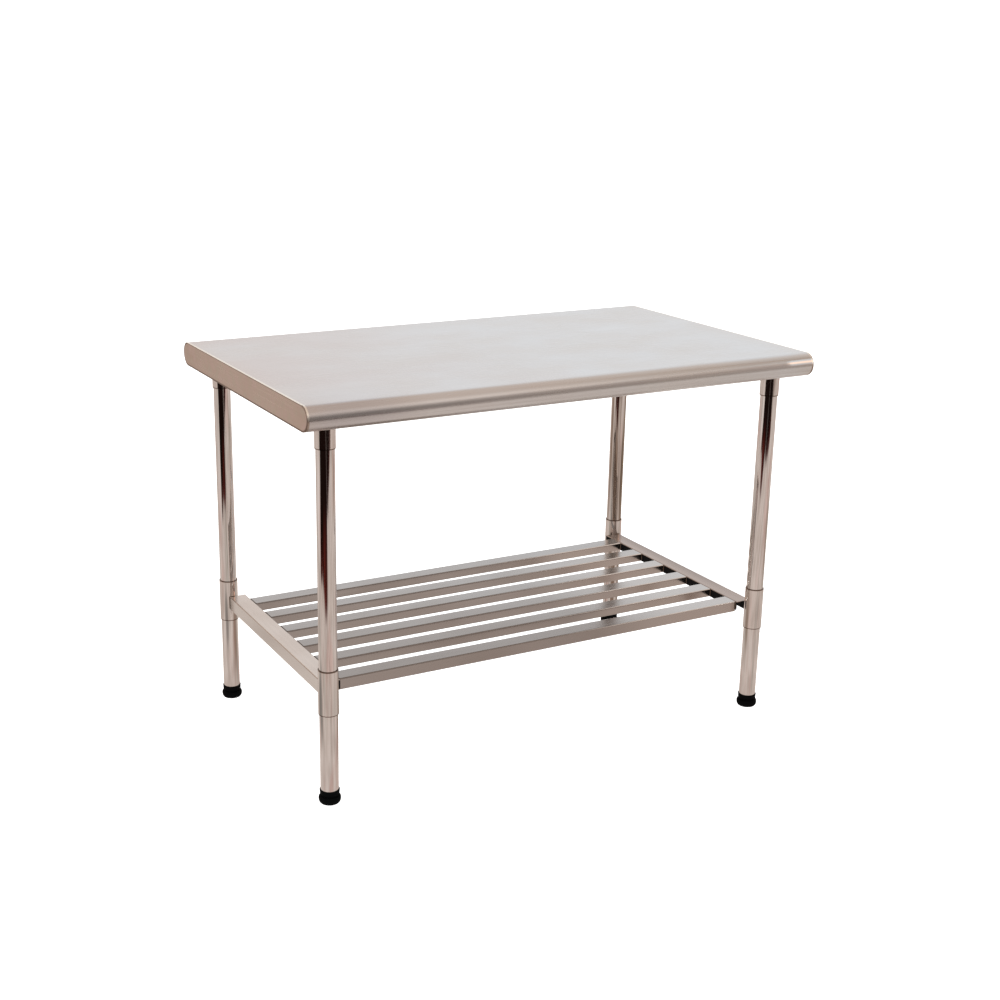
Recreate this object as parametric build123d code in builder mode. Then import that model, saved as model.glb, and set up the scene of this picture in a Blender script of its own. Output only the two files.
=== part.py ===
from build123d import *
import os

# A free-standing stainless work table: a folded worktop with rolled front and back edges, four
# tubular legs in sockets, a slatted shelf on sleeves that slip over the legs, and screw feet.
# Millimetres. The origin is on the floor, midway between the legs. +X runs along the table,
# +Y to its back, +Z up.

os.makedirs("parts", exist_ok=True)

# Overall size
TABLE_LENGTH = 1200.0
TABLE_DEPTH = 720.0
TABLE_HEIGHT = 850.0

# Worktop
SHEET = 1.2  # thickness of the worktop and of its end plates
NOSE_RADIUS = 26.0  # outside of the half-round front and back edges
LIP_WIDTH = 14.0  # flat under each rolled edge
LIP_HEM = 8.0  # upturned hem at the end of that lip
END_LIP = 20.0  # flange folded inward under each end plate
END_LIP_GAP = 2.0  # from that flange to the lips of the rolled edges

# Channels under the worktop
CHANNEL_SHEET = 1.5
CHANNEL_WEB = 70.0
CHANNEL_DEPTH = 30.0
CHANNEL_FLANGE = 15.0
CHANNEL_LENGTH = 630.0  # of the two across the table
CHANNEL_BEND = 3.0
CHANNEL_GAP = 0.5  # between the long channel and each one across

# Legs and their sockets
LEG_X = 536.5  # leg axes, from the middle of the table
LEG_Y = 293.0
LEG_RADIUS = 19.05
LEG_WALL = 1.2
LEG_BOTTOM = 29.0
COLLAR_RADIUS = 21.0  # outside of the sockets and of the shelf's sleeves
COLLAR_WALL = 1.5
SOCKET_BOTTOM = 751.0
SOCKET_FLANGE_RADIUS = 30.0
SOCKET_FLANGE = 2.0
LEG_TOP_GAP = 0.5  # from the leg's top to the socket's flange

# Shelf
SHELF_TOP = 257.0
SLEEVE_BOTTOM = 197.0
SLEEVE_HEIGHT = 97.0
RAIL_WIDTH = 40.0
RAIL_OUTER_X = 542.0
RAIL_OUTER_DROP = 30.0  # outer flange of the folded rail
RAIL_INNER_DROP = 20.0  # inner flange, as deep as a slat
RAIL_SHEET = 1.5
RAIL_BEND = 2.5
RAIL_SEAT = 2.0  # how far each rail end is coped onto its sleeve
SLAT_COUNT = 6
SLAT_WIDTH = 40.0
SLAT_HEIGHT = 20.0
FRONT_SLAT_HEIGHT = 25.0
SLAT_PITCH = 95.1
FRONT_SLAT_Y = -250.3
SLAT_WALL = 1.2
SLAT_CORNER = 2.5

# Set screws, all on the back of their tubes
SCREW_RADIUS = 3.0
SCREW_LENGTH = 6.0
SCREW_HEX = 3.0
SCREW_HEX_DEPTH = 3.0
SCREW_CHAMFER = 0.5
SOCKET_SCREW_Z = 775.0
SLEEVE_SCREW_Z = 212.0
SOCKET_SCREW_TIP_GAP = 0.05  # tips, from the leg tube
SLEEVE_SCREW_TIP_GAP = 0.3

# Screw feet
COLLAR_HEIGHT = 9.0  # plastic rim that closes the tube's end
RIM_RADIUS = 20.9
RIM_TAPER = 0.7
PLUG_HEIGHT = 30.0
PLUG_CORE_RADIUS = 16.6
RIB_COUNT = 3
RIB_HEIGHT = 3.0
RIB_PITCH = 10.0
STUD_RADIUS = 5.0
STUD_BOTTOM = 6.0
STUD_TOP = 80.0
STUD_CHAMFER = 1.0
STUD_CLEARANCE = 0.05  # in the nut and in the foot
STUD_HOLE_RADIUS = 5.4
NUT_ACROSS_FLATS = 17.0
NUT_HEIGHT = 8.0
NUT_CHAMFER = 0.8
FOOT_SOLE_RADIUS = 20.0
FOOT_RADIUS = 23.2
FOOT_BULGE_Z = 8.0
FOOT_HEIGHT = 15.5
FOOT_SHOULDER_RADIUS = 20.5
FOOT_NECK_RADIUS = 18.6
FOOT_NECK_TOP = LEG_BOTTOM - COLLAR_HEIGHT

# Worked out from the sizes above
UNDER_TOP = TABLE_HEIGHT - SHEET
NOSE_CENTRE_Z = TABLE_HEIGHT - NOSE_RADIUS
NOSE_BOTTOM = TABLE_HEIGHT - 2 * NOSE_RADIUS
FLAT_HALF = TABLE_DEPTH / 2 - NOSE_RADIUS
LIP_Y = FLAT_HALF - LIP_WIDTH
CHANNEL_BOTTOM = UNDER_TOP - CHANNEL_DEPTH
SOCKET_FLANGE_BOTTOM = CHANNEL_BOTTOM - SOCKET_FLANGE
LEG_TOP = SOCKET_FLANGE_BOTTOM - LEG_TOP_GAP
COLLAR_BORE = COLLAR_RADIUS - COLLAR_WALL
LEG_BORE = LEG_RADIUS - LEG_WALL
RAIL_INNER_X = RAIL_OUTER_X - RAIL_WIDTH
RAIL_END_Y = LEG_Y - COLLAR_RADIUS + RAIL_SEAT
NUT_BOTTOM = LEG_BOTTOM + PLUG_HEIGHT - NUT_HEIGHT

CORNERS = {
    "front_left": (-LEG_X, -LEG_Y),
    "front_right": (LEG_X, -LEG_Y),
    "back_left": (-LEG_X, LEG_Y),
    "back_right": (LEG_X, LEG_Y),
}
SIDES = {"left": -1, "right": 1}


def save(piece, label):
    """Labels a finished piece and writes it as its own file."""
    piece.part.label = label
    export_step(piece.part, f"parts/{label}.step")


# ---- Worktop ----

with BuildPart() as top_sheet:
    with BuildSketch(Plane.YZ):
        with BuildLine():
            Line((0, TABLE_HEIGHT), (FLAT_HALF, TABLE_HEIGHT))
            CenterArc((FLAT_HALF, NOSE_CENTRE_Z), NOSE_RADIUS, 90, -180)
            Polyline(
                (FLAT_HALF, NOSE_BOTTOM),
                (LIP_Y, NOSE_BOTTOM),
                (LIP_Y, NOSE_BOTTOM + LIP_HEM),
                (LIP_Y + SHEET, NOSE_BOTTOM + LIP_HEM),
                (LIP_Y + SHEET, NOSE_BOTTOM + SHEET),
                (FLAT_HALF, NOSE_BOTTOM + SHEET),
            )
            CenterArc((FLAT_HALF, NOSE_CENTRE_Z), NOSE_RADIUS - SHEET, -90, 180)
            Line((FLAT_HALF, UNDER_TOP), (0, UNDER_TOP))
            mirror(about=Plane.YZ)
        make_face()
    extrude(amount=TABLE_LENGTH / 2 - SHEET, both=True)
save(top_sheet, "top_sheet")


def end_cap(side):
    """The flat D-ended plate that closes one end of the worktop, with its flange folded inward."""
    outer_x = side * TABLE_LENGTH / 2
    with BuildPart() as cap:
        with BuildSketch(Plane.YZ.offset(outer_x)):
            with Locations((0, NOSE_CENTRE_Z)):
                SlotOverall(TABLE_DEPTH, 2 * NOSE_RADIUS)
        extrude(amount=-side * SHEET)
        with BuildSketch(Plane.XY.offset(NOSE_BOTTOM)):
            with Locations((outer_x - side * (SHEET + END_LIP) / 2, 0)):
                Rectangle(SHEET + END_LIP, 2 * (LIP_Y - END_LIP_GAP))
        extrude(amount=SHEET)
    return cap


for side_name, side in SIDES.items():
    save(end_cap(side), f"end_cap_{side_name}")


# ---- Channels under the worktop ----


def hat_channel(plane, length):
    """A folded hat channel: its flanges lie against the worktop and its web hangs below them."""
    web = CHANNEL_WEB / 2
    reach = web + CHANNEL_FLANGE
    with BuildPart() as channel:
        with BuildSketch(plane) as section:
            with BuildLine():
                Polyline(
                    (0, -CHANNEL_DEPTH),
                    (web, -CHANNEL_DEPTH),
                    (web, -CHANNEL_SHEET),
                    (reach, -CHANNEL_SHEET),
                    (reach, 0),
                    (web - CHANNEL_SHEET, 0),
                    (web - CHANNEL_SHEET, CHANNEL_SHEET - CHANNEL_DEPTH),
                    (0, CHANNEL_SHEET - CHANNEL_DEPTH),
                )
                mirror(about=Plane.YZ)
            make_face()
            fillet(section.vertices().group_by(Axis.Y)[0], CHANNEL_BEND)
        extrude(amount=length / 2, both=True)
    return channel


for side_name, side in SIDES.items():
    across = Plane(origin=(side * LEG_X, 0, UNDER_TOP), x_dir=(1, 0, 0), z_dir=(0, -1, 0))
    save(hat_channel(across, CHANNEL_LENGTH), f"cross_channel_{side_name}")

along = Plane(origin=(0, 0, UNDER_TOP), x_dir=(0, 1, 0), z_dir=(1, 0, 0))
long_channel_half = LEG_X - CHANNEL_WEB / 2 - CHANNEL_FLANGE - CHANNEL_GAP
save(hat_channel(along, 2 * long_channel_half), "long_channel")


# ---- Legs, sockets and sleeves ----


def upright_tube(centre, bottom, height, outer, bore):
    """A round upright tube standing on a height above the floor."""
    with BuildPart() as tube:
        with BuildSketch(Plane.XY.offset(bottom)):
            with Locations(centre):
                Circle(outer)
                Circle(bore, mode=Mode.SUBTRACT)
        extrude(amount=height)
    return tube


def collar(centre, bottom, height, screw_z):
    """A short tube that fits over a leg, tapped at the back for a set screw."""
    x, y = centre
    tapping = Plane(origin=(x, y + COLLAR_RADIUS, screw_z), z_dir=(0, 1, 0))
    with BuildPart() as tube:
        add(upright_tube(centre, bottom, height, COLLAR_RADIUS, COLLAR_BORE).part)
        with Locations(tapping):
            Hole(radius=SCREW_RADIUS, depth=2 * COLLAR_WALL)
    return tube


def leg_socket(centre):
    """A collar under the disc that is welded to the channel above it."""
    height = SOCKET_FLANGE_BOTTOM - SOCKET_BOTTOM
    with BuildPart() as socket:
        add(collar(centre, SOCKET_BOTTOM, height, SOCKET_SCREW_Z).part)
        with BuildSketch(Plane.XY.offset(SOCKET_FLANGE_BOTTOM)):
            with Locations(centre):
                Circle(SOCKET_FLANGE_RADIUS)
        extrude(amount=SOCKET_FLANGE)
    return socket


for corner, centre in CORNERS.items():
    leg = upright_tube(centre, LEG_BOTTOM, LEG_TOP - LEG_BOTTOM, LEG_RADIUS, LEG_BORE)
    save(leg, f"leg_{corner}")
    save(leg_socket(centre), f"leg_socket_{corner}")
    sleeve = collar(centre, SLEEVE_BOTTOM, SLEEVE_HEIGHT, SLEEVE_SCREW_Z)
    save(sleeve, f"shelf_sleeve_{corner}")


def set_screws(height, tip_gap):
    """Four headless screws with a hexagon socket, one on the back of each leg."""
    tip = LEG_RADIUS + tip_gap
    tips = [Plane(origin=(x, y + tip, height), z_dir=(0, 1, 0)) for x, y in CORNERS.values()]
    with BuildPart() as screws:
        with BuildSketch(*tips):
            Circle(SCREW_RADIUS)
        extrude(amount=SCREW_LENGTH)
        chamfer(screws.edges().filter_by(GeomType.CIRCLE), SCREW_CHAMFER)
        with BuildSketch(*[plane.offset(SCREW_LENGTH) for plane in tips]):
            RegularPolygon(SCREW_HEX / 2, 6, major_radius=False)
        extrude(amount=-SCREW_HEX_DEPTH, mode=Mode.SUBTRACT)
    return screws


save(set_screws(SOCKET_SCREW_Z, SOCKET_SCREW_TIP_GAP), "socket_set_screws")
save(set_screws(SLEEVE_SCREW_Z, SLEEVE_SCREW_TIP_GAP), "sleeve_set_screws")


# ---- Shelf ----


def shelf_rail(side):
    """A folded end rail, open below: a deep outer flange, and an inner one as deep as a slat.
    Each end is coped onto its sleeve."""
    inner_x = side * RAIL_INNER_X
    outer_x = side * RAIL_OUTER_X
    wall = side * RAIL_SHEET
    across = Plane(origin=(0, 0, SHELF_TOP), x_dir=(1, 0, 0), z_dir=(0, -1, 0))
    with BuildPart() as rail:
        with BuildSketch(across) as section:
            with BuildLine():
                Polyline(
                    (inner_x, 0),
                    (outer_x, 0),
                    (outer_x, -RAIL_OUTER_DROP),
                    (outer_x - wall, -RAIL_OUTER_DROP),
                    (outer_x - wall, -RAIL_SHEET),
                    (inner_x + wall, -RAIL_SHEET),
                    (inner_x + wall, -RAIL_INNER_DROP),
                    (inner_x, -RAIL_INNER_DROP),
                    close=True,
                )
            make_face()
            fillet(section.vertices().group_by(Axis.Y)[-1], RAIL_BEND)
            fillet(section.vertices().group_by(Axis.Y)[-2], RAIL_BEND - RAIL_SHEET)
        extrude(amount=RAIL_END_Y, both=True)
        with Locations((side * LEG_X, LEG_Y, SHELF_TOP), (side * LEG_X, -LEG_Y, SHELF_TOP)):
            Cylinder(COLLAR_RADIUS, 2 * RAIL_OUTER_DROP + 2 * RAIL_SHEET, mode=Mode.SUBTRACT)
    return rail


def shelf_slat(centre_y, height):
    """A rectangular tube between the two rails, with its top level with theirs."""
    across = Plane(origin=(0, centre_y, SHELF_TOP - height / 2), x_dir=(0, 1, 0), z_dir=(1, 0, 0))
    with BuildPart() as slat:
        with BuildSketch(across):
            RectangleRounded(SLAT_WIDTH, height, SLAT_CORNER)
            RectangleRounded(
                SLAT_WIDTH - 2 * SLAT_WALL,
                height - 2 * SLAT_WALL,
                SLAT_CORNER - SLAT_WALL,
                mode=Mode.SUBTRACT,
            )
        extrude(amount=RAIL_INNER_X, both=True)
    return slat


for side_name, side in SIDES.items():
    save(shelf_rail(side), f"shelf_rail_{side_name}")

for index in range(SLAT_COUNT):
    slat_height = FRONT_SLAT_HEIGHT if index == 0 else SLAT_HEIGHT
    slat = shelf_slat(FRONT_SLAT_Y + index * SLAT_PITCH, slat_height)
    save(slat, f"shelf_slat_{index + 1}")


# ---- Screw feet ----


def foot_insert(centre):
    """The plastic plug in a leg's end: a rim as wide as the leg, ribs, and a pocket for the nut."""
    x, y = centre
    plug_top = LEG_BOTTOM + PLUG_HEIGHT
    with BuildPart() as insert:
        with BuildSketch(Plane(origin=(x, y, 0), x_dir=(1, 0, 0), z_dir=(0, -1, 0))):
            with BuildLine():
                Polyline(
                    (STUD_HOLE_RADIUS, FOOT_NECK_TOP),
                    (RIM_RADIUS - RIM_TAPER, FOOT_NECK_TOP),
                    (RIM_RADIUS, LEG_BOTTOM),
                    (PLUG_CORE_RADIUS, LEG_BOTTOM),
                    (PLUG_CORE_RADIUS, plug_top),
                    (STUD_HOLE_RADIUS, plug_top),
                    close=True,
                )
            make_face()
        revolve(axis=Axis((x, y, 0), (0, 0, 1)))
        for rib in range(RIB_COUNT):
            with BuildSketch(Plane.XY.offset(LEG_BOTTOM + rib * RIB_PITCH)):
                with Locations(centre):
                    Circle(LEG_BORE)
                    Circle(PLUG_CORE_RADIUS, mode=Mode.SUBTRACT)
            extrude(amount=RIB_HEIGHT)
        with BuildSketch(Plane.XY.offset(plug_top)):
            with Locations(centre):
                RegularPolygon(NUT_ACROSS_FLATS / 2, 6, major_radius=False)
        extrude(amount=-NUT_HEIGHT, mode=Mode.SUBTRACT)
    return insert


def foot_nut(centre):
    """The steel hexagon nut that the stud turns in."""
    with BuildPart() as nut:
        with BuildSketch(Plane.XY.offset(NUT_BOTTOM)):
            with Locations(centre):
                RegularPolygon(NUT_ACROSS_FLATS / 2, 6, major_radius=False)
                Circle(STUD_RADIUS + STUD_CLEARANCE, mode=Mode.SUBTRACT)
        extrude(amount=NUT_HEIGHT)
        chamfer(nut.edges().filter_by(GeomType.CIRCLE), NUT_CHAMFER)
    return nut


def foot_stud(centre):
    """The foot's steel stud, with its thread as a plain cylinder of the thread's outside."""
    with BuildPart() as stud:
        with BuildSketch(Plane.XY.offset(STUD_BOTTOM)):
            with Locations(centre):
                Circle(STUD_RADIUS)
        extrude(amount=STUD_TOP - STUD_BOTTOM)
        chamfer(stud.edges().group_by(Axis.Z)[-1], STUD_CHAMFER)
    return stud


def foot_base(centre):
    """The round plastic foot: a bulged pad under a neck that meets the insert's rim."""
    x, y = centre
    bore = STUD_RADIUS + STUD_CLEARANCE
    pocket_bottom = STUD_BOTTOM - 2 * STUD_CLEARANCE
    with BuildPart() as base:
        with BuildSketch(Plane(origin=(x, y, 0), x_dir=(1, 0, 0), z_dir=(0, -1, 0))):
            with BuildLine():
                Line((0, pocket_bottom), (0, 0))
                Line((0, 0), (FOOT_SOLE_RADIUS, 0))
                Spline(
                    (FOOT_SOLE_RADIUS, 0),
                    (FOOT_RADIUS, FOOT_BULGE_Z),
                    (FOOT_SHOULDER_RADIUS, FOOT_HEIGHT),
                    tangents=((1, 1), (-1, 0.6)),
                )
                Polyline(
                    (FOOT_SHOULDER_RADIUS, FOOT_HEIGHT),
                    (FOOT_NECK_RADIUS, FOOT_HEIGHT),
                    (FOOT_NECK_RADIUS, FOOT_NECK_TOP),
                    (bore, FOOT_NECK_TOP),
                    (bore, pocket_bottom),
                    (0, pocket_bottom),
                )
            make_face()
        revolve(axis=Axis((x, y, 0), (0, 0, 1)))
    return base


for corner, centre in CORNERS.items():
    save(foot_insert(centre), f"foot_insert_{corner}")
    save(foot_nut(centre), f"foot_nut_{corner}")
    save(foot_stud(centre), f"foot_stud_{corner}")
    save(foot_base(centre), f"foot_base_{corner}")
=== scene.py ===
import math

import bmesh
import bpy
from mathutils import Matrix, Vector


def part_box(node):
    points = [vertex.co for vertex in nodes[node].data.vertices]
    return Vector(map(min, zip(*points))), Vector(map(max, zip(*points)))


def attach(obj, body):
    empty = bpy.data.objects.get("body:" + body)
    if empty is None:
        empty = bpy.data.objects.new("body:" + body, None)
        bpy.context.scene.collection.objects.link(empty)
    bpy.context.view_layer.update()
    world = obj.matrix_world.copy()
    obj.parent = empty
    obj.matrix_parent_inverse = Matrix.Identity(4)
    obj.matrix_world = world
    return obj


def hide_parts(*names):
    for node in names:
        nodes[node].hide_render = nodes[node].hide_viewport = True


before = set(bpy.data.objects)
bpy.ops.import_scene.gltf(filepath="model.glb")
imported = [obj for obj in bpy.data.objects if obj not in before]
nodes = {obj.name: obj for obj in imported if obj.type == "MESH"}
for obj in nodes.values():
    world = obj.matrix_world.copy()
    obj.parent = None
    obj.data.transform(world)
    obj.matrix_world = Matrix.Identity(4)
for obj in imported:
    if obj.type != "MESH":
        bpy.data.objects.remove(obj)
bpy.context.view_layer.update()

CORNERS = ("front_left", "front_right", "back_left", "back_right")
SIDES = ("left", "right")
SLATS = range(1, 7)


# ---- Shaders ----

# A level step of one metre straight ahead, as seen in the photo.
AHEAD_X = 0.465
AHEAD_Y = 0.885


class Shader:
    """A node tree, built one node at a time. Object coordinates are the table's own, in metres."""

    def __init__(self, tree):
        self.tree = tree
        self.coords = None

    def node(self, kind, inputs=(), **settings):
        node = self.tree.nodes.new("ShaderNode" + kind)
        for name, value in settings.items():
            setattr(node, name, value)
        for name, value in dict(inputs).items():
            self.feed(node.inputs[name], value)
        return node

    def feed(self, socket, value):
        if isinstance(value, bpy.types.NodeSocket):
            self.tree.links.new(value, socket)
        else:
            socket.default_value = value

    def object_coords(self):
        if self.coords is None:
            self.coords = self.node("TexCoord").outputs["Object"]
        return self.coords

    def axes(self, vector):
        return self.node("SeparateXYZ", {0: vector}).outputs

    def places(self):
        """The x, y and z of each point of the surface."""
        return self.axes(self.object_coords())

    def facing(self):
        """The x, y and z of the surface's normal."""
        return self.axes(self.node("TexCoord").outputs["Normal"])

    def headings(self, x, y):
        """How far ahead and how far to the right a point or direction lies, as seen in the photo."""
        ahead = self.plus(self.times(x, AHEAD_X), self.times(y, AHEAD_Y))
        right = self.minus(self.times(x, AHEAD_Y), self.times(y, AHEAD_X))
        return ahead, right

    def maths(self, operation, *values):
        return self.node("Math", dict(enumerate(values)), operation=operation).outputs[0]

    def fold(self, operation, first, *others):
        for value in others:
            first = self.maths(operation, first, value)
        return first

    def times(self, *values):
        return self.fold("MULTIPLY", *values)

    def plus(self, *values):
        return self.fold("ADD", *values)

    def largest(self, *values):
        return self.fold("MAXIMUM", *values)

    def minus(self, first, second):
        return self.maths("SUBTRACT", first, second)

    def absolute(self, value):
        return self.maths("ABSOLUTE", value)

    def vectors(self, operation, first, second):
        return self.node("VectorMath", {0: first, 1: second}, operation=operation).outputs["Value"]

    def spread(self, value, low, high, to_low=0.0, to_high=1.0, smooth=False):
        """Maps value from low..high to to_low..to_high, and stops at both ends."""
        inputs = {0: value, 1: low, 2: high, 3: to_low, 4: to_high}
        kind = "SMOOTHSTEP" if smooth else "LINEAR"
        return self.node("MapRange", inputs, interpolation_type=kind).outputs[0]

    def fade(self, value, low, high):
        """0 at low, 1 at high, and eased in between."""
        return self.spread(value, low, high, smooth=True)

    def noise(self, scale, detail=3.0, roughness=0.5):
        """Noise with its own number of features per metre along each axis."""
        where = self.node("Mapping", {"Vector": self.object_coords(), "Scale": scale})
        inputs = {"Vector": where.outputs[0], "Scale": 1.0, "Detail": detail, "Roughness": roughness}
        return self.node("TexNoise", inputs).outputs["Fac"]

    def blend(self, factor, first, second):
        inputs = {0: factor, 6: first, 7: second}
        return self.node("Mix", inputs, data_type="RGBA").outputs[2]

    def layer(self, under, over, *masks):
        """Lays one colour over another where every mask is 1, and in part where they are lower."""
        return self.blend(self.times(*masks), under, over)

    def bump(self, height, distance, normal=None):
        inputs = {"Height": height, "Distance": distance, "Strength": 1.0}
        if normal is not None:
            inputs["Normal"] = normal
        return self.node("Bump", inputs).outputs[0]


def principled(name, settings):
    """A new material, and the Shader that builds its nodes."""
    material = bpy.data.materials.new(name)
    material.use_nodes = True
    shader = Shader(material.node_tree)
    shader.surface = material.node_tree.nodes["Principled BSDF"]
    for socket, value in settings.items():
        shader.surface.inputs[socket].default_value = value
    return material, shader


def rgb(red, green, blue):
    return (red, green, blue, 1.0)


def even(scale):
    """The same number of features per metre along all three axes."""
    return (scale, scale, scale)


CLOUD_SCALE = (5.0, 7.0, 7.0)
STREAK_SHADE = 0.8
WAVE_HEIGHT = 0.0006
SCRATCH_HEIGHT = 0.000004


def steel(name, tint, stain, rough, grain, fine, waves, contrast=0.3):
    """Stainless steel: streaks along the grain, faint stains, and a slow waviness.
    Returns the material, its shader, its base colour and its roughness for further layers."""
    material, s = principled(name, {"Metallic": 1.0})
    streaks = s.noise(grain, 5.0, 0.65)
    scratches = s.noise(fine, 2.0)
    clouds = s.noise(CLOUD_SCALE, 4.0, 0.55)
    colour = s.blend(s.spread(clouds, 0.35, 0.7), rgb(*tint), rgb(*stain))
    deep = rgb(*[part * STREAK_SHADE for part in tint])
    colour = s.blend(s.spread(streaks, 0.4, 0.8, 0.0, contrast), colour, deep)
    rougher = s.spread(streaks, 0.2, 0.8, rough * 0.75, rough * 1.3)
    rougher = s.plus(rougher, s.spread(clouds, 0.3, 0.7, -rough * 0.15, rough * 0.15))
    wave = s.bump(s.noise(waves, 2.0), WAVE_HEIGHT)
    s.feed(s.surface.inputs["Normal"], s.bump(scratches, SCRATCH_HEIGHT, wave))
    return material, s, colour, rougher


def finish(s, colour, rougher):
    s.feed(s.surface.inputs["Base Color"], colour)
    s.feed(s.surface.inputs["Roughness"], rougher)


def dress(names, material):
    """Gives CAD pieces a material in place of the one they came with."""
    for name in names:
        nodes[name].data.materials.clear()
        nodes[name].data.materials.append(material)


# ---- Steel of each kind ----

BROWN_TINT = rgb(0.16, 0.10, 0.07)
PAINTED_CREAM_HIGHLIGHT = rgb(1.0, 0.96, 0.89)
RAIL_PAINTED_SHADE = rgb(0.006, 0.005, 0.005)
TOP_LENGTH_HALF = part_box("top_sheet")[1].x
NOSE_RADIUS = 0.026
NOSE_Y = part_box("top_sheet")[1].y - NOSE_RADIUS
NOSE_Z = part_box("top_sheet")[1].z - NOSE_RADIUS
RAIL_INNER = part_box("shelf_rail_right")[0].x
RAIL_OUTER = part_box("shelf_rail_right")[1].x
SHELF_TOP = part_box("shelf_rail_right")[1].z

TOP_WARM = rgb(0.72, 0.665, 0.65)
TOP_BESIDE_NOSE = rgb(0.62, 0.58, 0.58)
TOP_HEATED_END = rgb(0.75, 0.60, 0.48)
NOSE_GREY = rgb(0.60, 0.585, 0.595)
LOW_EDGE_BROWN = rgb(0.36, 0.29, 0.25)
# A band of the front nose is ground smoother, and leans slightly, from here to its right end.
GROUND_START = 0.520
GROUND_SLOPE = -0.12
GROUND_ROUGHNESS = 0.15


def worktop_material():
    """Brushed along the table, warmer to the left, with a painted cream highlight along each end edge, brown
    low on the nose, and heat tint at each end. The front nose is greyer at its left end and has a smoother
    band at its right end."""
    material, s, colour, rougher = steel(
        "worktop_steel", (0.745, 0.755, 0.765), (0.74, 0.72, 0.70), rough=0.25,
        grain=(1.2, 420.0, 420.0), fine=(12.0, 2600.0, 2600.0), waves=(1.2, 2.5, 2.5), contrast=0.12)
    x, y, z = s.places()
    from_middle = s.absolute(x)
    warm = s.fade(x, 0.15, -0.65)
    patches = s.spread(s.noise((2.2, 5.0, 5.0)), 0.4, 0.62, 0.35, 1.0, smooth=True)
    colour = s.layer(colour, TOP_WARM, warm, patches)

    on_nose = s.spread(s.absolute(y), NOSE_Y, NOSE_Y + 0.006)
    leftward = s.fade(x, -0.32, -0.52)
    colour = s.layer(colour, NOSE_GREY, on_nose, leftward, 0.85)
    colour = s.layer(colour, TOP_BESIDE_NOSE, s.spread(y, -0.22, -NOSE_Y), leftward, 0.35)

    # Painted highlight: the top's end edges are painted cream, turning brown low on the nose.
    end_edge = s.spread(from_middle, TOP_LENGTH_HALF - 0.0045, TOP_LENGTH_HALF - 0.003)
    low_nose = s.times(on_nose, s.spread(z, NOSE_Z + 0.004, NOSE_Z - 0.002))
    colour = s.blend(end_edge, colour, s.blend(low_nose, PAINTED_CREAM_HIGHLIGHT, LOW_EDGE_BROWN))
    heated = s.spread(from_middle, TOP_LENGTH_HALF - 0.05, TOP_LENGTH_HALF - 0.004)
    colour = s.layer(colour, TOP_HEATED_END, heated, 0.12)

    ground = s.times(
        s.spread(y, -NOSE_Y, -NOSE_Y - 0.004), s.spread(x, GROUND_START, GROUND_START + 0.02),
        s.spread(z, NOSE_Z + 0.019, NOSE_Z + 0.014), s.spread(z, NOSE_Z + 0.002, NOSE_Z + 0.006))
    past_start = s.largest(s.minus(x, GROUND_START), 0.0)
    rolled = s.surface.inputs["Normal"].links[0].from_socket
    sloped = s.bump(s.times(past_start, GROUND_SLOPE), 1.0)
    lean = s.node("Mix", {0: ground, 4: rolled, 5: sloped}, data_type="VECTOR").outputs[1]
    s.feed(s.surface.inputs["Normal"], lean)
    smoother = s.node("Mix", {0: ground, 2: rougher, 3: GROUND_ROUGHNESS}, data_type="FLOAT")
    finish(s, colour, smoother.outputs[0])
    return material


PLATE_BACK = rgb(0.53, 0.41, 0.335)
PLATE_PINK = rgb(0.62, 0.475, 0.43)
PLATE_OLIVE = rgb(0.54, 0.485, 0.40)


def end_plate_material():
    """Brown-beige plate with a dark line round its edge, and outside it a painted cream highlight on the
    upper corner.
    """
    material, s, colour, rougher = steel(
        "end_plate_steel", (0.60, 0.485, 0.41), (0.56, 0.445, 0.375), rough=0.3,
        grain=(300.0, 2.0, 300.0), fine=(2600.0, 14.0, 2600.0), waves=even(3.0), contrast=0.05)
    y, z = s.places()[1:]
    colour = s.blend(s.spread(y, 0.1, 0.3, 0.0, 0.7), colour, PLATE_BACK)
    blotch = s.noise(even(40.0))
    colour = s.blend(s.spread(blotch, 0.48, 0.66, 0.0, 0.6), colour, PLATE_PINK)
    colour = s.blend(s.spread(blotch, 0.46, 0.32, 0.0, 0.5), colour, PLATE_OLIVE)

    past_flat = s.largest(s.minus(s.absolute(y), NOSE_Y), 0.0)
    rise = s.minus(z, NOSE_Z)
    radius = s.maths("SQRT", s.plus(s.times(past_flat, past_flat), s.times(rise, rise)))
    top_edge = s.times(s.spread(z, NOSE_Z, NOSE_Z + 0.01), s.spread(past_flat, 0.002, 0.0))
    width = s.spread(top_edge, 0.0, 1.0, 0.0042, 0.0026)
    line = s.spread(s.plus(radius, width), NOSE_RADIUS, NOSE_RADIUS + 0.0012)
    front_curve = s.times(s.spread(y, -NOSE_Y, -NOSE_Y - 0.006), s.spread(rise, -0.008, 0.0))
    strength = s.spread(front_curve, 0.0, 1.0, 0.9, 0.55)
    colour = s.layer(colour, BROWN_TINT, line, strength)
    # Painted highlight: a thin cream line on the rounded upper corner of the plate.
    corner = s.spread(radius, NOSE_RADIUS - 0.0007, NOSE_RADIUS - 0.0004)
    colour = s.layer(colour, PAINTED_CREAM_HIGHLIGHT, corner, top_edge)
    finish(s, colour, rougher)
    return material


TUBE_PINK = rgb(0.72, 0.54, 0.51)
TUBE_GREY = rgb(0.52, 0.52, 0.49)
TUBE_STAIN = rgb(0.24, 0.16, 0.105)


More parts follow.
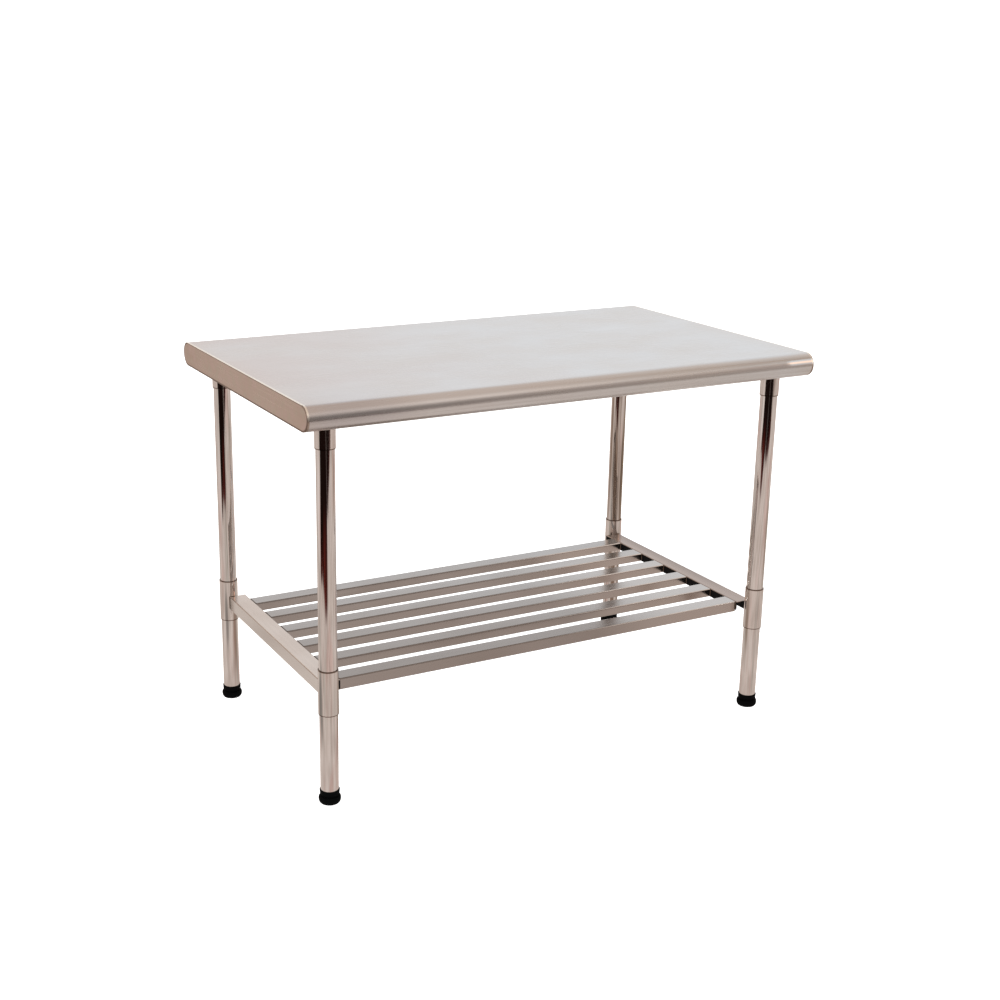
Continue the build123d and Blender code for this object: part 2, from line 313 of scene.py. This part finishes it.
def tube_material(name, tint, stain, rough):
    """Polished tube with faint pink and grey streaks drawn along it."""
    material, s, colour, rougher = steel(
        name, tint, stain, rough,
        grain=(110.0, 110.0, 2.5), fine=(1500.0, 1500.0, 30.0), waves=(14.0, 14.0, 2.0), contrast=0.6)
    pink = s.spread(s.noise((110.0, 110.0, 5.0), 2.0), 0.52, 0.68)
    colour = s.layer(colour, TUBE_PINK, pink, 0.65)
    grey = s.spread(s.noise((150.0, 150.0, 2.5), 2.0), 0.55, 0.7)
    colour = s.layer(colour, TUBE_GREY, grey, 0.7)
    return material, s, colour, rougher


def leg_material(name, stain=0.0):
    """Polished tube; stain is how strong its brown heat streaks are."""
    material, s, colour, rougher = tube_material(
        name, (0.83, 0.79, 0.77), (0.79, 0.74, 0.71), rough=0.06)
    if stain:
        streak = s.spread(s.noise((85.0, 85.0, 1.5), 2.0), 0.42, 0.56)
        colour = s.layer(colour, TUBE_STAIN, streak, stain)
    finish(s, colour, rougher)
    return material


def collar_material():
    """As the legs but duller, with darker ends: partly the raw cut edge, partly painted shade of the gap at
    each rim.
    """
    material, s, colour, rougher = tube_material(
        "collar_steel", (0.80, 0.75, 0.72), (0.74, 0.68, 0.65), rough=0.09)
    z = s.places()[2]
    # Darker bands at the socket's foot and both ends of each sleeve: partly raw cut edge, partly painted
    # shade of the gap at each rim.
    ends = 0.0
    levels = [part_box("leg_socket_front_left")[0].z, *[end.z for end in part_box("shelf_sleeve_front_left")]]
    for level in levels:
        away = s.absolute(s.minus(z, level))
        ends = s.largest(s.spread(away, 0.0024, 0.0015), ends)
    colour = s.layer(colour, BROWN_TINT, ends, 0.9)
    finish(s, colour, rougher)
    return material


SLAT_FRONT = rgb(0.33, 0.295, 0.275)
SLAT_SIDE = rgb(0.44, 0.395, 0.375)
SLAT_TOP_REFLECTION = rgb(0.60, 0.575, 0.555)
SLAT_SIDE_REFLECTION = rgb(0.56, 0.50, 0.465)
SLAT_EDGE = rgb(0.22, 0.18, 0.16)
SLAT_EDGE_HIGHLIGHT = rgb(0.93, 0.92, 0.91)


def slat_material():
    """Dull steel, darker on the front slats and browner on the sides, with a painted reflection that makes
    them paler towards the right. The long edges are dark, with a painted highlight on them over the right
    half; the welded ends have a brown line."""
    material, s, colour, rougher = steel(
        "slat_steel", (0.50, 0.485, 0.475), (0.43, 0.40, 0.38), rough=0.2,
        grain=(2.5, 160.0, 160.0), fine=(15.0, 2000.0, 2000.0), waves=(2.0, 9.0, 9.0), contrast=0.5)
    x, y = s.places()[:2]
    sideways, upward = s.facing()[1:]
    tilt = s.absolute(sideways)
    sides = s.spread(tilt, 0.6, 0.9)
    colour = s.layer(colour, SLAT_FRONT, s.spread(y, 0.15, -0.25), 0.75)
    colour = s.layer(colour, SLAT_SIDE, sides, 0.6)
    # Painted reflection: towards the right, the slats' tops and sides are painted paler.
    right = s.spread(x, 0.12, 0.36)
    colour = s.layer(colour, SLAT_TOP_REFLECTION, right, s.spread(upward, 0.6, 0.9), s.spread(y, 0.2, 0.08))
    colour = s.layer(colour, SLAT_SIDE_REFLECTION, right, sides, 0.9)
    edge = s.times(s.spread(tilt, 0.12, 0.4), s.spread(tilt, 0.97, 0.8))
    colour = s.layer(colour, SLAT_EDGE, edge, 0.5)
    # Painted highlight: the upper long edges are painted bright over the right half.
    colour = s.layer(colour, SLAT_EDGE_HIGHLIGHT, edge, s.spread(upward, 0.0, 0.3), s.spread(x, 0.0, 0.25))
    seam = s.spread(s.absolute(x), RAIL_INNER - 0.0018, RAIL_INNER - 0.0008)
    colour = s.layer(colour, BROWN_TINT, seam, 0.8)
    finish(s, colour, rougher)
    return material


RAIL_RIGHT = rgb(0.44, 0.345, 0.30)
RAIL_DARK_STRIP = rgb(0.31, 0.245, 0.215)
RAIL_LEFT_SIDE_REFLECTION = rgb(0.77, 0.745, 0.715)
RAIL_BEND_SHADE = rgb(0.27, 0.22, 0.195)
PAINTED_SHADE_ROUGHNESS = 0.7
PAINTED_SHADE_SPECULAR = 0.05


def rail_material():
    """Satin on top and outside, and painted black shade inside and under the slats' ends, matt and not
    metallic.
    """
    material, s, colour, rougher = steel(
        "rail_steel", (0.745, 0.66, 0.60), (0.68, 0.585, 0.52), rough=0.22,
        grain=(160.0, 2.5, 160.0), fine=(2000.0, 15.0, 2000.0), waves=(9.0, 2.0, 9.0), contrast=0.3)
    x, y, z = s.places()
    right = s.spread(x, -0.2, 0.2)
    colour = s.layer(colour, RAIL_RIGHT, right, 0.85)
    strip = s.times(s.spread(x, RAIL_INNER + 0.008, RAIL_OUTER - 0.006), s.spread(y, -0.28, -0.12))
    colour = s.layer(colour, RAIL_DARK_STRIP, strip, 0.8)
    outward = s.absolute(s.facing()[0])
    # Painted reflection: the left rail's side faces are painted paler.
    colour = s.layer(colour, RAIL_LEFT_SIDE_REFLECTION, s.spread(outward, 0.85, 0.97), s.minus(1.0, right))
    # Painted shade: the rounded bend between the top and the sides is painted darker.
    bend_shade = s.times(s.spread(outward, 0.15, 0.45), s.spread(outward, 0.97, 0.85))
    colour = s.layer(colour, RAIL_BEND_SHADE, bend_shade, 0.75)
    # Painted shade: below the top and in from the outer face, the rail is painted black, matt and not
    # metallic.
    inside = s.spread(s.absolute(x), RAIL_OUTER - 0.0008, RAIL_OUTER - 0.0010)
    below = s.spread(z, SHELF_TOP - 0.0011, SHELF_TOP - 0.0015)
    scale = s.times(inside, below)
    colour = s.blend(scale, colour, RAIL_PAINTED_SHADE)
    s.feed(s.surface.inputs["Metallic"], s.minus(1.0, scale))
    s.surface.inputs["Specular IOR Level"].default_value = PAINTED_SHADE_SPECULAR
    finish(s, colour, s.largest(rougher, s.times(scale, PAINTED_SHADE_ROUGHNESS)))
    return material


FINE_TO_GRAIN = 12


def plain_steel(name, tint, stain, rough, grain):
    """Steel with no direction to its grain."""
    material, s, colour, rougher = steel(
        name, tint, stain, rough, grain=even(grain), fine=even(grain * FINE_TO_GRAIN), waves=even(6.0))
    finish(s, colour, rougher)
    return material


PLASTIC_BLACK = rgb(0.0015, 0.0016, 0.0018)
PLASTIC_SCUFF = rgb(0.012, 0.012, 0.012)
PLASTIC_GRAIN_HEIGHT = 0.00005


def foot_material():
    """Moulded black plastic: a fine grain, scuffed a little lighter low down."""
    material, s = principled("foot_plastic", {"Specular IOR Level": 0.03})
    z = s.places()[2]
    grain = s.noise(even(900.0))
    scuffs = s.spread(s.noise((120.0, 120.0, 300.0), 4.0, 0.7), 0.58, 0.75)
    scuffs = s.times(scuffs, s.spread(z, 0.012, 0.003))
    colour = s.blend(scuffs, PLASTIC_BLACK, PLASTIC_SCUFF)
    s.feed(s.surface.inputs["Normal"], s.bump(grain, PLASTIC_GRAIN_HEIGHT))
    finish(s, colour, s.spread(grain, 0.3, 0.7, 0.5, 0.7))
    return material


collar_steel = collar_material()
fastener_steel = plain_steel("fastener_steel", (0.62, 0.62, 0.60), (0.56, 0.55, 0.50), 0.3, 300.0)
channel_steel = plain_steel("channel_steel", (0.55, 0.55, 0.55), (0.50, 0.49, 0.48), 0.35, 60.0)
leg_steel = leg_material("polished_tube")
stained_leg_steel = leg_material("stained_tube", 0.85)
plastic = foot_material()
dress(["top_sheet"], worktop_material())
dress([f"end_cap_{side}" for side in SIDES], end_plate_material())
dress([f"shelf_rail_{side}" for side in SIDES], rail_material())
dress([f"shelf_slat_{count}" for count in SLATS], slat_material())
dress(["long_channel"] + [f"cross_channel_{side}" for side in SIDES], channel_steel)
dress(["socket_set_screws", "sleeve_set_screws"], fastener_steel)
for corner in CORNERS:
    dress([f"leg_{corner}"], stained_leg_steel if corner == "back_right" else leg_steel)
    dress([f"leg_socket_{corner}", f"shelf_sleeve_{corner}"], collar_steel)
    dress([f"foot_nut_{corner}", f"foot_stud_{corner}"], fastener_steel)
    dress([f"foot_insert_{corner}", f"foot_base_{corner}"], plastic)


MERGE_DISTANCE = 0.000002
ROUND_SEGMENTS = 2
SHARP_ANGLE = math.radians(40)


def soften(names, width):
    """Rounds the sharp edges of CAD pieces by a modifier, so that they catch the light."""
    for name in names:
        weld = nodes[name].modifiers.new("weld", "WELD")
        weld.merge_threshold = MERGE_DISTANCE
        bevel = nodes[name].modifiers.new("bevel", "BEVEL")
        bevel.width = width
        bevel.segments = ROUND_SEGMENTS
        bevel.limit_method = "ANGLE"
        bevel.angle_limit = SHARP_ANGLE
        weighted = nodes[name].modifiers.new("normals", "WEIGHTED_NORMAL")
        weighted.mode = "FACE_AREA_WITH_ANGLE"
        weighted.keep_sharp = True


soften([f"end_cap_{side}" for side in SIDES], 0.0005)
soften([f"leg_socket_{corner}" for corner in CORNERS], 0.0003)
soften([f"shelf_sleeve_{corner}" for corner in CORNERS], 0.0003)


# ---- Welds and threads ----


def skin(form, rings):
    """Joins each ring of points to the next, and closes both ends."""
    sides = len(rings[0])
    for ring, following in zip(rings, rings[1:]):
        for side in range(sides):
            beside = (side + 1) % sides
            form.faces.new((ring[side], ring[beside], following[beside], following[side]))
    form.faces.new(rings[0][::-1])
    form.faces.new(rings[-1])


BEAD_STEP = 0.0005
BEAD_SIDES = 8
# A bead's radius swells once every ripple, and narrows at both ends, as shares of the full radius.
BEAD_RIPPLE = 0.0013
BEAD_VALLEY = 0.82
BEAD_SWELL = 0.18
BEAD_TIP = 0.35
BEAD_TAPER = 0.25


def bead(form, points, radius):
    """Adds a rippled weld bead, closed at both ends, along a line of points."""
    path = [Vector(points[0])]
    for start, end in zip(points, points[1:]):
        start, end = Vector(start), Vector(end)
        count = max(1, round((end - start).length / BEAD_STEP))
        path += [start.lerp(end, step / count) for step in range(1, count + 1)]
    last = len(path) - 1
    across = None
    rings = []
    for index, place in enumerate(path):
        ahead = (path[min(index + 1, last)] - path[max(index - 1, 0)]).normalized()
        across = ahead.orthogonal() if across is None else across - ahead * across.dot(ahead)
        across.normalize()
        up = ahead.cross(across)
        ripple = BEAD_VALLEY + BEAD_SWELL * abs(math.sin(math.pi * index * BEAD_STEP / BEAD_RIPPLE))
        taper = min(1.0, BEAD_TIP + BEAD_TAPER * min(index, last - index))
        size = radius * ripple * taper
        turns = [2 * math.pi * side / BEAD_SIDES for side in range(BEAD_SIDES)]
        rings.append([
            form.verts.new(place + (across * math.cos(turn) + up * math.sin(turn)) * size)
            for turn in turns])
    skin(form, rings)


def add_piece(name, form, body, material):
    """Turns a bmesh into a smooth-shaded piece that rides on a body."""
    bmesh.ops.recalc_face_normals(form, faces=form.faces)
    mesh = bpy.data.meshes.new(name)
    form.to_mesh(mesh)
    form.free()
    mesh.polygons.foreach_set("use_smooth", [True] * len(mesh.polygons))
    mesh.materials.append(material)
    piece = bpy.data.objects.new(name, mesh)
    bpy.context.scene.collection.objects.link(piece)
    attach(piece, body)
    return piece


HEAT_STRAW = rgb(0.22, 0.15, 0.085)
HEAT_BLUE = rgb(0.10, 0.11, 0.16)


def weld_material():
    """Bead of weld: straw, brown and blue heat colours over dull steel."""
    material, s, colour, rougher = steel(
        "weld_steel", (0.20, 0.155, 0.13), (0.14, 0.105, 0.085), rough=0.38,
        grain=even(700.0), fine=even(2600.0), waves=even(60.0))
    heat = s.noise(even(260.0), 3.0, 0.6)
    colour = s.blend(s.spread(heat, 0.5, 0.62), colour, HEAT_STRAW)
    colour = s.blend(s.spread(heat, 0.6, 0.7), colour, HEAT_BLUE)
    finish(s, colour, rougher)
    return material


weld_steel = weld_material()
LEG_X = (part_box("leg_front_right")[0].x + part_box("leg_front_right")[1].x) / 2
LEG_Y = (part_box("leg_back_right")[0].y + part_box("leg_back_right")[1].y) / 2
COLLAR_RADIUS = (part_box("shelf_sleeve_back_right")[1].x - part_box("shelf_sleeve_back_right")[0].x) / 2
SLAT_BEAD = 0.0014
SLAT_BEAD_DROP = 0.0022
SLAT_BEAD_GAP = 0.0008
SLAT_USUAL_DEPTH = 0.02
RAIL_BEAD = 0.0013
RAIL_BEAD_GAP = 0.001
RAIL_BEND_DROP = 0.0015
COPE_START = -0.0085
COPE_STEPS = 10


def slat_welds(side, sign):
    """An upright bead on both sides of every slat's end."""
    form = bmesh.new()
    x = sign * RAIL_INNER
    for count in SLATS:
        low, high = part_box(f"shelf_slat_{count}")
        foot = max(low.z, high.z - SLAT_USUAL_DEPTH) + SLAT_BEAD_GAP
        for y in (low.y, high.y):
            bead(form, [(x, y, high.z - SLAT_BEAD_DROP), (x, y, foot)], SLAT_BEAD)
    add_piece(f"slat_welds_{side}", form, "shelf", weld_steel)


def rail_welds(side, sign):
    """A bead over each end of a rail, where it is coped onto its sleeve, and down its outer flange."""
    form = bmesh.new()
    rail_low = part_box(f"shelf_rail_{side}")[0].z
    outer = RAIL_OUTER - LEG_X
    across = [COPE_START + (outer - COPE_START) * step / COPE_STEPS for step in range(COPE_STEPS + 1)]
    depth = [LEG_Y - math.sqrt(COLLAR_RADIUS ** 2 - offset ** 2) for offset in across]
    for end in (-1, 1):
        line = [(sign * (LEG_X + offset), end * back, SHELF_TOP) for offset, back in zip(across, depth)]
        line.append((sign * RAIL_OUTER, end * depth[-1], SHELF_TOP - RAIL_BEND_DROP))
        line.append((sign * RAIL_OUTER, end * depth[-1], rail_low + RAIL_BEAD_GAP))
        bead(form, line, RAIL_BEAD)
    add_piece(f"rail_welds_{side}", form, "shelf", weld_steel)


STITCH_BEAD = 0.0018
STITCH_DROP = 0.0006
STITCH_DEGREES = range(25, 66, 4)
STITCH_TURNS = range(0, 360, 90)


def socket_welds():
    """Stitches that hold each socket's disc to the channel above it."""
    form = bmesh.new()
    for corner in CORNERS:
        low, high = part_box(f"leg_socket_{corner}")
        centre = (low + high) / 2
        radius = (high.x - low.x) / 2
        height = high.z - STITCH_DROP
        for first in STITCH_TURNS:
            turns = [math.radians(first + degrees) for degrees in STITCH_DEGREES]
            line = [
                (centre.x + radius * math.cos(turn), centre.y + radius * math.sin(turn), height)
                for turn in turns]
            bead(form, line, STITCH_BEAD)
    add_piece("socket_welds", form, "frame", weld_steel)


SPOT_RADIUS = 0.0028
SPOT_PITCH = 0.075
SPOT_SIDES = 16
# Share of the radius, and depth below the face, of each ring from the outside in.
SPOT_RINGS = ((1.0, 0.0), (0.86, 0.0003), (0.7, 0.00012), (0.3, 0.0001))
SPOT_INSET = 0.0075
SPOT_END_GAP = 0.02
CHANNEL_THICKNESS = 0.0015


def spot(form, centre):
    """A spot weld's shallow pit in its raised ring, on a face that looks down."""
    turns = [2 * math.pi * side / SPOT_SIDES for side in range(SPOT_SIDES)]
    rings = []
    for share, drop in SPOT_RINGS:
        size = share * SPOT_RADIUS
        rings.append([
            form.verts.new(centre + Vector((size * math.cos(turn), size * math.sin(turn), -drop)))
            for turn in turns])
    skin(form, rings)


def spot_welds():
    """A row of spot welds along both flanges of each channel."""
    form = bmesh.new()
    for name in ("long_channel", "cross_channel_left", "cross_channel_right"):
        low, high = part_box(name)
        along = 0 if name == "long_channel" else 1
        half = (high[along] - low[along]) / 2 - SPOT_END_GAP
        count = round(2 * half / SPOT_PITCH)
        for edge in (low[1 - along] + SPOT_INSET, high[1 - along] - SPOT_INSET):
            for step in range(count + 1):
                centre = Vector((0.0, 0.0, high.z - CHANNEL_THICKNESS))
                centre[along] = (low[along] + high[along]) / 2 - half + 2 * half * step / count
                centre[1 - along] = edge
                spot(form, centre)
    add_piece("spot_welds", form, "frame", weld_steel)


THREAD_PITCH = 0.0015
THREAD_DEPTH = 0.0009
THREAD_SIDES = 24
THREAD_ROWS = 6
THREAD_CLEARANCE = 0.00005
TOP_CHAMFER = 0.001
FOOT_CHAMFER = 0.0004
FLANK_SLOPE = 1.35
CREST_WIDTH = 0.2


def thread_mesh(low, high):
    """A metric thread about its own axis, chamfered at both ends, as tall as the stud's box."""
    radius = (high.x - low.x) / 2 - THREAD_CLEARANCE
    height = high.z - low.z
    form = bmesh.new()
    rows = round(height / THREAD_PITCH * THREAD_ROWS)
    rings = []
    for row in range(rows + 1):
        z = height * row / rows
        limit = min(radius, radius - TOP_CHAMFER + (height - z), radius - FOOT_CHAMFER + z)
        ring = []
        for side in range(THREAD_SIDES):
            phase = (z / THREAD_PITCH - side / THREAD_SIDES) % 1.0
            groove = min(1.0, max(0.0, abs(phase * 2 - 1) * FLANK_SLOPE - CREST_WIDTH))
            size = min(radius - THREAD_DEPTH * groove, limit)
            turn = 2 * math.pi * side / THREAD_SIDES
            ring.append(form.verts.new((size * math.cos(turn), size * math.sin(turn), z)))
        rings.append(ring)
    skin(form, rings)
    return form


def threads():
    """Puts a real thread in the place of each stud's plain cylinder."""
    for corner in CORNERS:
        low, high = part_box(f"foot_stud_{corner}")
        form = thread_mesh(low, high)
        centre = Vector(((low.x + high.x) / 2, (low.y + high.y) / 2, low.z))
        bmesh.ops.translate(form, verts=form.verts, vec=centre)
        piece = add_piece(f"stud_thread_{corner}", form, f"stud_{corner}", fastener_steel)
        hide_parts(f"foot_stud_{corner}")


for side, sign in zip(SIDES, (-1, 1)):
    slat_welds(side, sign)
    rail_welds(side, sign)
socket_welds()
spot_welds()
threads()


# ---- Stage ----

CAMERA_PLACE = Vector((-1.625, -2.8614, 1.4952))
CAMERA_YAW = math.radians(27.735)
CAMERA_PITCH = math.radians(16.863)
CAMERA_ROLL = math.radians(0.603)
LENS = 54.16
SENSOR_WIDTH = 36.0
SHIFT_X = 0.0542
SHIFT_Y = -0.0015


def make_camera():
    """The photo's view, fitted to the edges of the table."""
    data = bpy.data.cameras.new("camera")
    data.lens = LENS
    data.sensor_width = SENSOR_WIDTH
    data.shift_x = SHIFT_X
    data.shift_y = SHIFT_Y
    camera = bpy.data.objects.new("camera", data)
    bpy.context.scene.collection.objects.link(camera)
    ahead = Vector((
        math.sin(CAMERA_YAW) * math.cos(CAMERA_PITCH),
        math.cos(CAMERA_YAW) * math.cos(CAMERA_PITCH),
        -math.sin(CAMERA_PITCH)))
    level = Vector((math.cos(CAMERA_YAW), -math.sin(CAMERA_YAW), 0.0))
    above = level.cross(ahead)
    right = level * math.cos(CAMERA_ROLL) + above * math.sin(CAMERA_ROLL)
    turn = Matrix((right, right.cross(ahead), -ahead)).transposed()
    camera.matrix_world = Matrix.Translation(CAMERA_PLACE) @ turn.to_4x4()
    bpy.context.scene.camera = camera


make_camera()

WHITE = rgb(1.0, 1.0, 1.0)
SEEN_WHITE = rgb(1.08, 1.08, 1.08)
WALL_LEFT = rgb(0.72, 0.60, 0.53)
WALL_RIGHT = rgb(0.86, 0.86, 0.87)
WALL_FRONT = rgb(0.78, 0.70, 0.645)
CEILING = rgb(0.66, 0.55, 0.48)
REAR_LEFT = (-0.124, 0.882, 0.454)
REAR_LEFT_LIGHT = rgb(1.5, 1.42, 1.3)
LAMP = (0.80, -0.50, 0.33)
LAMP_LIGHT = rgb(1.5, 1.12, 0.9)
DIM_LEFT = rgb(0.19, 0.175, 0.165)
DIM_RIGHT = rgb(0.43, 0.335, 0.285)
BRIGHT_PATCH = rgb(0.98, 0.86, 0.78)
SIDE_PATCH = rgb(0.49, 0.385, 0.315)
DIM_TILT = 0.14


def studio_world():
    """White to the camera and to matt surfaces; a softly graded room to the polished steel."""
    world = bpy.data.worlds.new("studio")
    world.use_nodes = True
    bpy.context.scene.world = world
    s = Shader(world.node_tree)
    s.tree.nodes.clear()
    direction = s.node("TexCoord").outputs["Generated"]
    x, y, z = s.axes(direction)
    ahead, right = s.headings(x, y)
    front = s.fade(ahead, -0.05, -0.3)

    # Walls and ceiling, with a light at the rear left.
    wall = s.blend(s.fade(right, -0.75, 0.1), WALL_LEFT, WALL_RIGHT)
    wall = s.blend(front, wall, WALL_FRONT)
    room = s.blend(s.fade(z, 0.5, 0.85), wall, CEILING)
    rear_left = s.vectors("DOT_PRODUCT", direction, REAR_LEFT)
    room = s.blend(s.fade(rear_left, 0.955, 0.985), room, REAR_LEFT_LIGHT)

    # The front wall is dim low down. The upper edge of this is higher and sharper towards the right,
    # and a little higher towards the left.
    turn = s.spread(s.maths("DIVIDE", ahead, s.largest(right, 0.05)), -0.83, -0.44)
    later = s.fade(turn, 0.45, 0.9)
    sooner = s.spread(turn, 0.45, 0.15, 0.0, DIM_TILT)
    top_edge = s.plus(s.spread(later, 0.0, 1.0, 0.56, 0.82), sooner)
    low_edge = s.plus(s.spread(later, 0.0, 1.0, -0.04, 0.58), sooner)
    dim = s.blend(turn, DIM_LEFT, DIM_RIGHT)
    room = s.layer(room, dim, front, s.fade(z, top_edge, low_edge))

    # A bright patch over it, a darker one beside that, and a lamp.
    slant = s.plus(right, s.times(ahead, 0.6))
    room = s.layer(
        room, BRIGHT_PATCH, front, s.fade(slant, 0.40, 0.46), s.fade(slant, 0.63, 0.57),
        s.fade(z, 0.78, 0.62), s.fade(z, 0.36, 0.46))
    room = s.layer(
        room, SIDE_PATCH, s.fade(slant, 0.60, 0.665), s.fade(ahead, 0.38, 0.12), s.fade(z, 0.5, 0.62))
    lamp = s.vectors("DOT_PRODUCT", direction, LAMP)
    room = s.blend(s.fade(lamp, 0.989, 0.996), room, LAMP_LIGHT)

    ray = s.node("LightPath").outputs
    seen = s.largest(ray["Is Camera Ray"], ray["Is Diffuse Ray"])
    background = s.node("Background", {"Color": s.blend(seen, room, SEEN_WHITE), "Strength": 1.0})
    s.node("OutputWorld", {0: background.outputs[0]})


studio_world()


def plane(name, size, height):
    """A square of the stage, centred under the table."""
    mesh = bpy.data.meshes.new(name)
    half = size / 2
    corners = [(-half, -half, height), (half, -half, height), (half, half, height), (-half, half, height)]
    mesh.from_pydata(corners, [], [(0, 1, 2, 3)])
    obj = bpy.data.objects.new(name, mesh)
    bpy.context.scene.collection.objects.link(obj)
    return obj


# Below the feet, so that a foot screwed out 20 mm still shows; the white floor looks the same there.
FLOOR_HEIGHT = -0.0205
FLOOR_PAPER = rgb(0.9, 0.9, 0.9)


def white_floor():
    """The pale floor that the camera sees and the steel doesn't."""
    floor = plane("floor", 40.0, FLOOR_HEIGHT)
    floor.visible_glossy = False
    settings = {
        "Base Color": FLOOR_PAPER, "Roughness": 0.9, "Emission Color": WHITE, "Emission Strength": 0.75}
    floor.data.materials.append(principled("floor_paper", settings)[0])


CARPET_BLACK = rgb(0.010, 0.005, 0.004)
CARPET_RED = rgb(0.15, 0.022, 0.015)
CARPET_GREY = rgb(0.30, 0.25, 0.23)
PAPER_LIGHT = rgb(0.72, 0.635, 0.585)
PAPER_FOLD = rgb(0.54, 0.46, 0.415)
PAPER_FAR = rgb(0.33, 0.275, 0.24)
# Centre, radius and colour of the patches on the reflected floor's paper; the first, under the table, is
# painted shade of the table.
FLOOR_PATCHES = (
    ((-0.1, 0.0, 0.0), 0.42, rgb(0.28, 0.21, 0.16)),
    ((-1.05, -0.05, 0.0), 0.32, rgb(0.23, 0.215, 0.20)),
    ((1.9, -0.55, 0.0), 0.7, rgb(0.32, 0.27, 0.22)),
    ((-2.6, 0.7, 0.0), 1.0, rgb(0.80, 0.72, 0.68)),
)


def carpet_reach(s, x, y, ahead, wobble):
    """1 on the dark carpet, in front of the table and to its left, and 0 on the paper round it."""
    near = s.fade(ahead, -1.52, -1.72)
    south = s.fade(s.plus(y, wobble), -1.78, -1.95)
    west = s.fade(s.plus(x, wobble), -1.8, -2.0)
    west_end = s.fade(s.minus(y, s.times(x, 0.286)), 0.62, 0.42)
    east_end = s.fade(s.minus(x, s.times(y, 0.5)), 3.1, 2.85)
    slanted = s.plus(y, s.times(x, 0.27), wobble)
    bare = s.times(s.fade(x, -1.1, -0.7), s.fade(slanted, -2.62, -2.46))
    return s.times(s.largest(near, south, west), west_end, east_end, s.minus(1.0, bare))


def reflected_floor():
    """The studio floor that only the steel sees: patched paper with painted shade under the table, and a
    black and red carpet on it.
    """
    floor = plane("floor_in_reflections", 12.0, FLOOR_HEIGHT - 0.0005)
    floor.visible_camera = False
    floor.visible_diffuse = False
    floor.visible_shadow = False
    floor.visible_transmission = False
    material = bpy.data.materials.new("floor_in_reflections")
    material.use_nodes = True
    floor.data.materials.append(material)
    s = Shader(material.node_tree)
    s.tree.nodes.clear()
    x, y = s.places()[:2]
    wobble = s.spread(s.noise(even(1.3)), 0.3, 0.7, -0.12, 0.12)
    ahead, right = s.headings(x, y)
    ahead = s.plus(ahead, wobble)

    inward = s.spread(ahead, -1.65, -2.7)
    blotch = s.spread(s.noise(even(1.6)), 0.45, 0.62, smooth=True)
    red = s.times(s.minus(1.0, inward), s.spread(x, -2.3, -1.7), s.plus(s.times(blotch, 0.6), 0.4))
    carpet = s.blend(red, CARPET_BLACK, CARPET_RED)
    carpet = s.layer(carpet, CARPET_GREY, s.fade(right, 0.28, 0.36), s.fade(right, 0.62, 0.5), 0.35)

    folds = s.fade(s.noise(even(2.6), 3.0, 0.6), 0.38, 0.64)
    paper = s.blend(folds, PAPER_LIGHT, PAPER_FOLD)
    for centre, radius, colour in FLOOR_PATCHES:
        away = s.vectors("DISTANCE", s.object_coords(), centre)
        paper = s.blend(s.spread(away, radius, radius * 0.35, 0.0, 0.8, smooth=True), paper, colour)
    paper = s.blend(s.fade(s.plus(y, wobble), -3.25, -3.85), paper, PAPER_FAR)

    colour = s.blend(carpet_reach(s, x, y, ahead, wobble), paper, carpet)
    emission = s.node("Emission", {"Color": colour, "Strength": 1.0})
    s.node("OutputMaterial", {0: emission.outputs[0]})


white_floor()
reflected_floor()

KEY_PLACE = Vector((-2.0, -2.2, 3.0))
KEY_TARGET = Vector((0.0, 0.0, 0.4))
KEY_WIDTH = 1.6
KEY_POWER = 40.0
KEY_COLOUR = (1.0, 0.97, 0.94)


def key_light():
    """A soft square lamp, high in front of the table and to its left."""
    data = bpy.data.lights.new("key", "AREA")
    data.shape = "RECTANGLE"
    data.size = data.size_y = KEY_WIDTH
    data.energy = KEY_POWER
    data.color = KEY_COLOUR
    lamp = bpy.data.objects.new("key", data)
    bpy.context.scene.collection.objects.link(lamp)
    lamp.location = KEY_PLACE
    lamp.rotation_euler = (KEY_TARGET - KEY_PLACE).to_track_quat("-Z", "Y").to_euler()
    lamp.visible_camera = False


key_light()

bpy.context.scene.view_settings.view_transform = "Standard"
